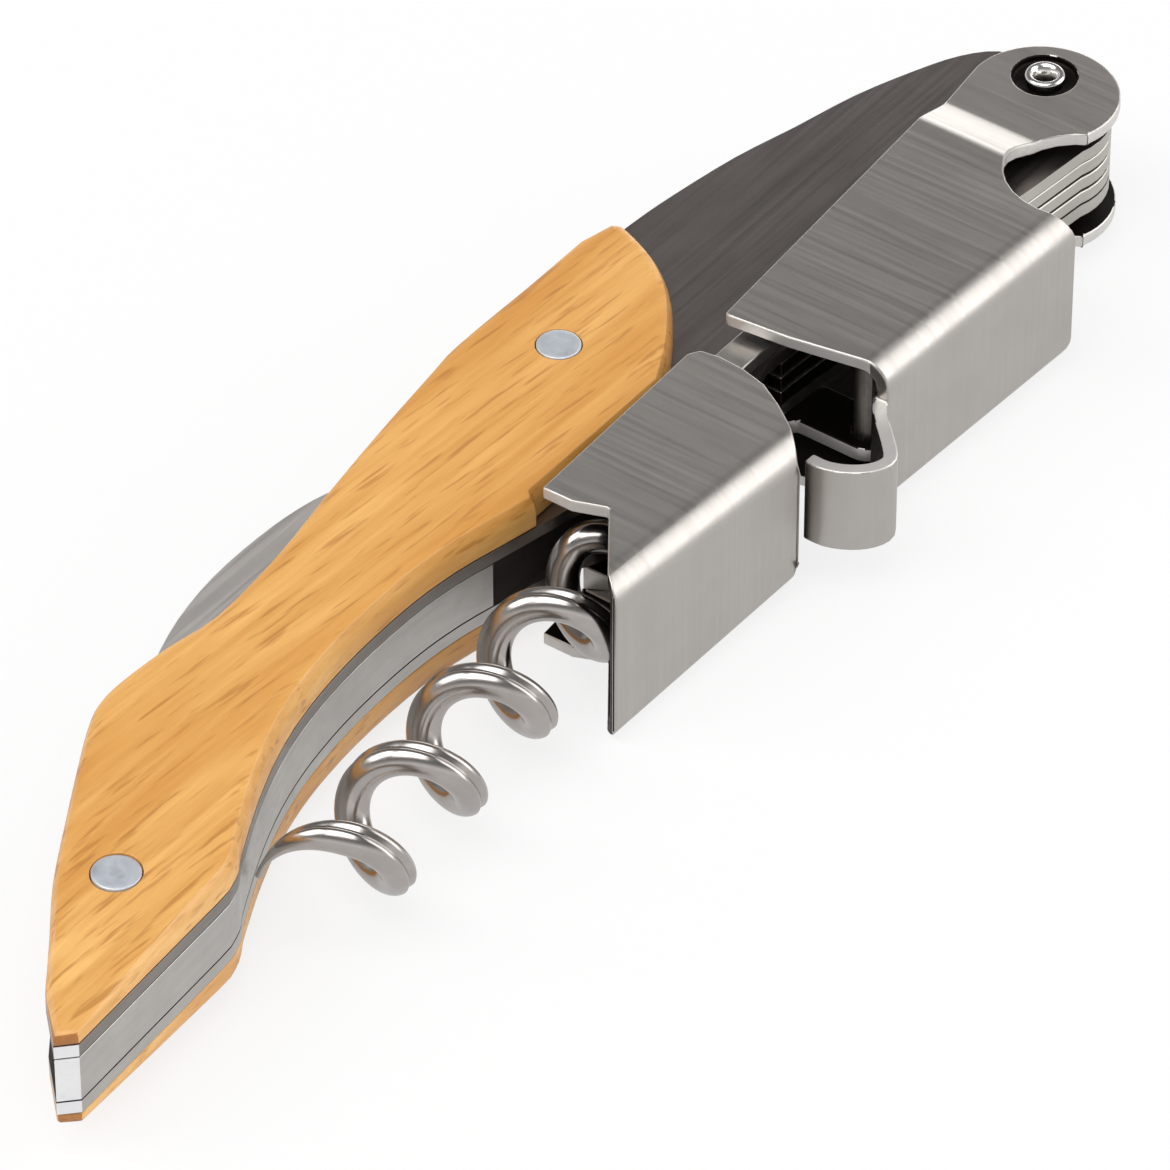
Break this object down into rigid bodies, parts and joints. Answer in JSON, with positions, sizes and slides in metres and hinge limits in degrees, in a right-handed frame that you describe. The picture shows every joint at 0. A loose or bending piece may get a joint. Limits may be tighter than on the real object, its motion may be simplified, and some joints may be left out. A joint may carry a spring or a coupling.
{
  "type": "waiters friend corkscrew",
  "caption": "Folding corkscrew with a curved bamboo handle, a hinged two-step steel lever, an open wire worm and a foil knife.",
  "frame": {"origin": "centre of the bounding box's underside", "axes": "+X along the closed tool from its tail to the lever's pivot, +Y to the handle's back, +Z along the pivots"},
  "size_m": [0.1192, 0.0314, 0.014],
  "materials": {
    "bamboo": "satin lacquer over a lengthwise grain",
    "bolster_steel": "fine satin",
    "brushed_steel": "fine brushed",
    "polished_steel": "polished",
    "blade_steel": "satin",
    "rivet_aluminium": "satin"
  },
  "bodies": {
    "handle": {"liner_upper": "bolster_steel", "liner_lower": "bolster_steel", "belly_strip": "brushed_steel", "head_block": "polished_steel", "scale_upper": "bamboo", "scale_lower": "bamboo", "tail_rivet": "rivet_aluminium", "mid_rivet": "rivet_aluminium", "mid_bush": "brushed_steel", "head_bush": "brushed_steel", "head_rivet": "polished_steel", "head_washer_upper": "brushed_steel", "head_washer_lower": "brushed_steel", "knife_stop_pin": "brushed_steel", "knife_washer_upper": "brushed_steel", "knife_washer_lower": "brushed_steel", "worm_pin": "brushed_steel", "worm_washer_upper": "brushed_steel", "worm_washer_lower": "brushed_steel"},
    "lever": {"lever_arm": "brushed_steel", "step_pin": "brushed_steel"},
    "foot": {"lever_foot": "brushed_steel"},
    "screw": {"worm": "polished_steel"},
    "knife": {"knife_blade": "blade_steel"}
  },
  "joints": [
    {"name": "lever_pivot", "type": "hinge", "parent": "handle", "child": "lever", "pos_m": [0.05556, -0.00128, 0.00699], "axis": [0, 0, 1], "range_deg": [0, 150]},
    {"name": "lever_step", "type": "hinge", "parent": "lever", "child": "foot", "pos_m": [0.02536, -0.00779, 0.00699], "axis": [0, 0, 1], "range_deg": [0, 90]},
    {"name": "worm_pivot", "type": "hinge", "parent": "handle", "child": "screw", "pos_m": [0.01255, -0.00364, 0.00699], "axis": [0, 0, 1], "range_deg": [0, 90]},
    {"name": "knife_pivot", "type": "hinge", "parent": "handle", "child": "knife", "pos_m": [-0.04645, -0.00013, 0.00699], "axis": [0, 0, 1], "range_deg": [0, 150]}
  ],
  "couplings": [
    {"joint": "worm_pivot", "follows": "lever_pivot", "ratio": 0.6}
  ]
}
